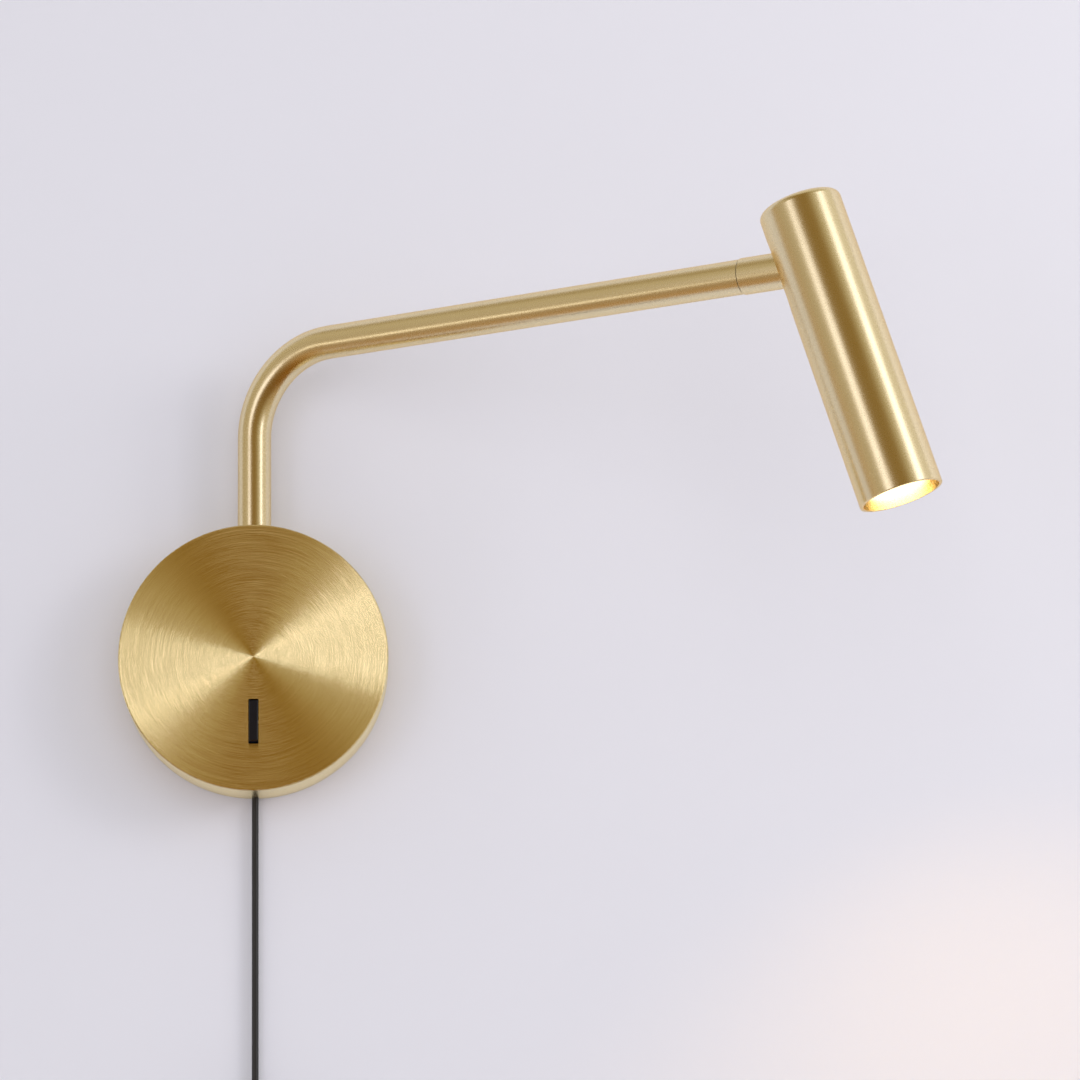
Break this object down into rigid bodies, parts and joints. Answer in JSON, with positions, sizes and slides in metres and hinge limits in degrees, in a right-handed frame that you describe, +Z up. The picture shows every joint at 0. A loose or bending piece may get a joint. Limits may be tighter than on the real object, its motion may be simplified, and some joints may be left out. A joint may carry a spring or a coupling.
{
  "type": "wall reading lamp",
  "caption": "Brass bedside wall lamp: round drum with rocker switch, swivelling bent tube arm, tilting cylinder head, black plug-in cord.",
  "frame": {"origin": "centre of the drum's wall face, on the wall plane", "axes": "+Z up, +Y into the wall, +X to the right seen from the room"},
  "size_m": [0.3707, 0.1963, 0.5488],
  "materials": {
    "brass_metal": "brushed, clear lacquer",
    "brass_turned": "fine turned",
    "steel": "zinc plated",
    "aluminium": "bare",
    "black_plastic": "fine satin",
    "gloss_plastic": "moulded, polished",
    "white_plastic": "satin",
    "board": "solder mask",
    "cord_skin": "satin",
    "wire_skin": "satin",
    "lead_skin": "satin",
    "lens": "clear",
    "phosphor": "matt"
  },
  "bodies": {
    "drum": {"wall_plate": "steel", "side_screws": "steel", "drum_shell": "brass_turned", "swivel_bushing": "brass_metal", "bushing_nut": "steel", "switch_housing": "black_plastic", "switch_terminals": "steel", "rocker_pin": "steel", "switch_screws": "steel", "driver_case": "white_plastic", "driver_lid": "white_plastic", "driver_board": "board", "driver_parts": "black_plastic", "terminal_block": "white_plastic", "block_screw": "steel", "terminal_screws": "steel", "cord_grommet": "black_plastic", "drum_wires": "wire_skin", "cord": "cord_skin", "cord_coil": "cord_skin", "cord_tie": "black_plastic", "plug_boot": "black_plastic", "plug_body": "black_plastic", "plug_blades": "brass_metal"},
    "rocker": {"rocker": "gloss_plastic"},
    "arm": {"arm_tube": "brass_metal", "riser_insert": "brass_metal", "swivel_spindle": "steel", "swivel_washer": "steel", "swivel_nut": "steel", "swivel_stop_pin": "steel", "arm_end_insert": "brass_metal", "roll_spindle": "steel", "roll_stop_pin": "steel", "roll_washer": "steel", "roll_nut": "steel", "arm_lead": "lead_skin"},
    "knuckle": {"joint_sleeve": "brass_metal", "sleeve_screw": "steel", "knuckle": "brass_metal", "knuckle_lead": "lead_skin"},
    "head": {"head_shell": "brass_metal", "yoke": "aluminium", "tilt_screw": "steel", "tilt_nut": "steel", "tilt_washers": "steel", "yoke_screws": "steel", "heat_sink": "aluminium", "led_board": "white_plastic", "led_chip": "phosphor", "board_screws": "steel", "lens_holder": "white_plastic", "tir_lens": "lens", "lens_ring": "brass_metal", "head_lead": "lead_skin"}
  },
  "joints": [
    {"name": "arm_swing", "type": "hinge", "parent": "drum", "child": "arm", "pos_m": [0, -0.015, 0.06], "axis": [0, 0, 1], "range_deg": [-146, 28]},
    {"name": "head_roll", "type": "hinge", "parent": "arm", "child": "knuckle", "pos_m": [0.22475, -0.15004, 0.152], "axis": [0.8572, -0.515, 0], "range_deg": [-170, 160]},
    {"name": "head_tilt", "type": "hinge", "parent": "knuckle", "child": "head", "pos_m": [0.25715, -0.16951, 0.152], "axis": [0.5131, 0.8539, 0.0872], "range_deg": [-14, 46]},
    {"name": "rocker_tip", "type": "hinge", "parent": "drum", "child": "rocker", "pos_m": [0, -0.027, -0.031], "axis": [1, 0, 0], "range_deg": [0, 12]}
  ]
}
